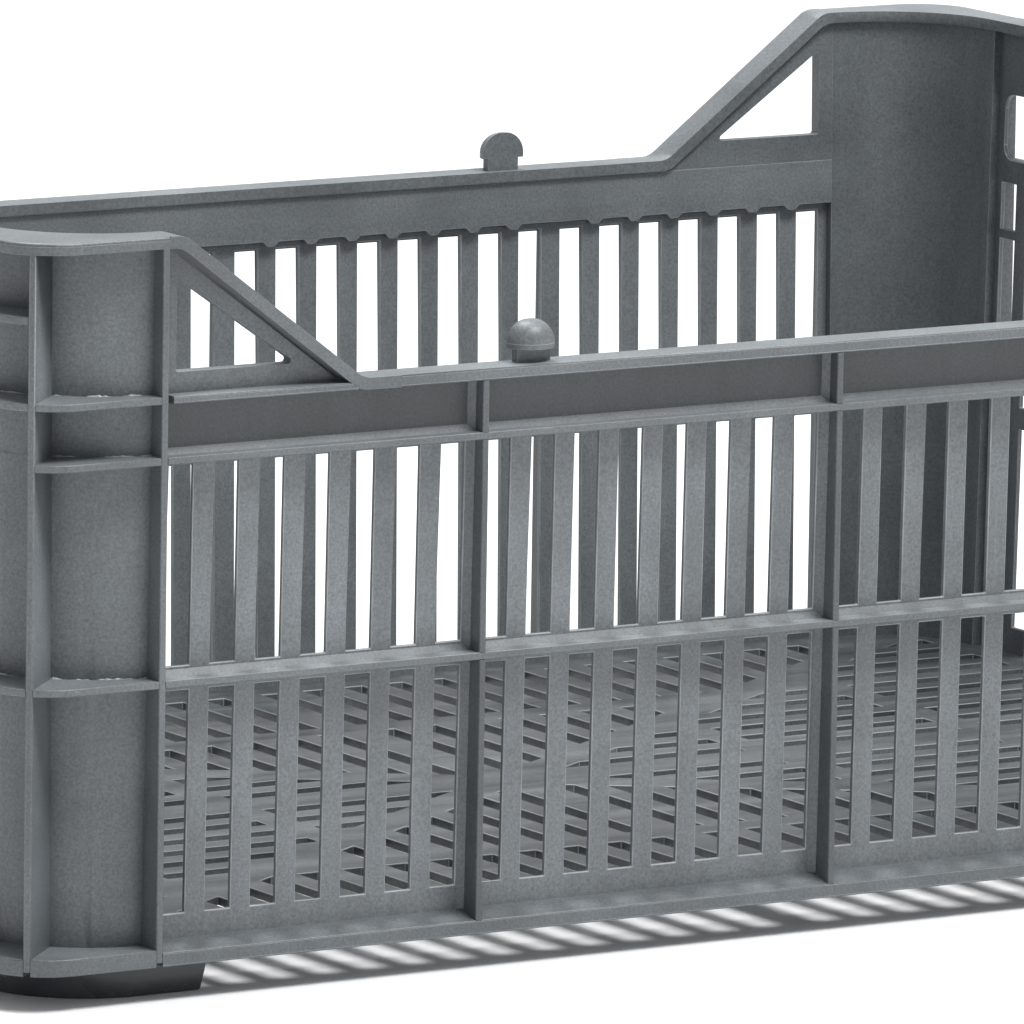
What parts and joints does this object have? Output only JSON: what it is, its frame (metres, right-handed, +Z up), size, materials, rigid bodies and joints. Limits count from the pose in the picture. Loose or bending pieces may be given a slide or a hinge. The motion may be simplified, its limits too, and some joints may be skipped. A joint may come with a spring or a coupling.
{
  "type": "stacking storage crate",
  "caption": "Open-topped ribbed plastic stacking crate with slotted walls and floor, raised corners joined to low side rims by slopes, stacking knobs on the rims and feet under the corners.",
  "frame": {"origin": "centre of the footprint, on the plane that the feet stand on", "axes": "+X along the long sides, +Z up, the front long side at -Y"},
  "size_m": [0.6, 0.4, 0.242],
  "materials": {
    "moulded_grey": "satin moulded polypropylene, faint grain and flow marks",
    "foot_grey": "the same plastic, smoother and scuffed where it stands"
  },
  "bodies": {
    "root": {"front_flange": "moulded_grey", "front_floor_grid": "moulded_grey", "front_inner_band": "moulded_grey", "front_left_cap": "moulded_grey", "front_left_foot": "foot_grey", "front_left_post": "moulded_grey", "front_left_post_fins": "moulded_grey", "front_left_post_ribs": "moulded_grey", "front_left_shoulder": "moulded_grey", "front_middle_rib": "moulded_grey", "front_right_cap": "moulded_grey", "front_right_foot": "foot_grey", "front_right_post": "moulded_grey", "front_right_post_fins": "moulded_grey", "front_right_post_ribs": "moulded_grey", "front_right_shoulder": "moulded_grey", "front_rim": "moulded_grey", "front_side_panel": "moulded_grey", "front_stacking_knobs": "moulded_grey", "front_upper_rib": "moulded_grey", "front_uprights": "moulded_grey", "left_end_flange": "moulded_grey", "left_end_panel": "moulded_grey", "left_end_ribs": "moulded_grey", "left_end_rim": "moulded_grey", "left_end_uprights": "moulded_grey", "left_floor_grid": "moulded_grey", "rear_flange": "moulded_grey", "rear_floor_grid": "moulded_grey", "rear_inner_band": "moulded_grey", "rear_left_cap": "moulded_grey", "rear_left_foot": "foot_grey", "rear_left_post": "moulded_grey", "rear_left_post_fins": "moulded_grey", "rear_left_post_ribs": "moulded_grey", "rear_left_shoulder": "moulded_grey", "rear_middle_rib": "moulded_grey", "rear_right_cap": "moulded_grey", "rear_right_foot": "foot_grey", "rear_right_post": "moulded_grey", "rear_right_post_fins": "moulded_grey", "rear_right_post_ribs": "moulded_grey", "rear_right_shoulder": "moulded_grey", "rear_rim": "moulded_grey", "rear_side_panel": "moulded_grey", "rear_stacking_knobs": "moulded_grey", "rear_upper_rib": "moulded_grey", "rear_uprights": "moulded_grey", "right_end_flange": "moulded_grey", "right_end_panel": "moulded_grey", "right_end_ribs": "moulded_grey", "right_end_rim": "moulded_grey", "right_end_uprights": "moulded_grey", "right_floor_grid": "moulded_grey"}
  },
  "joints": []
}
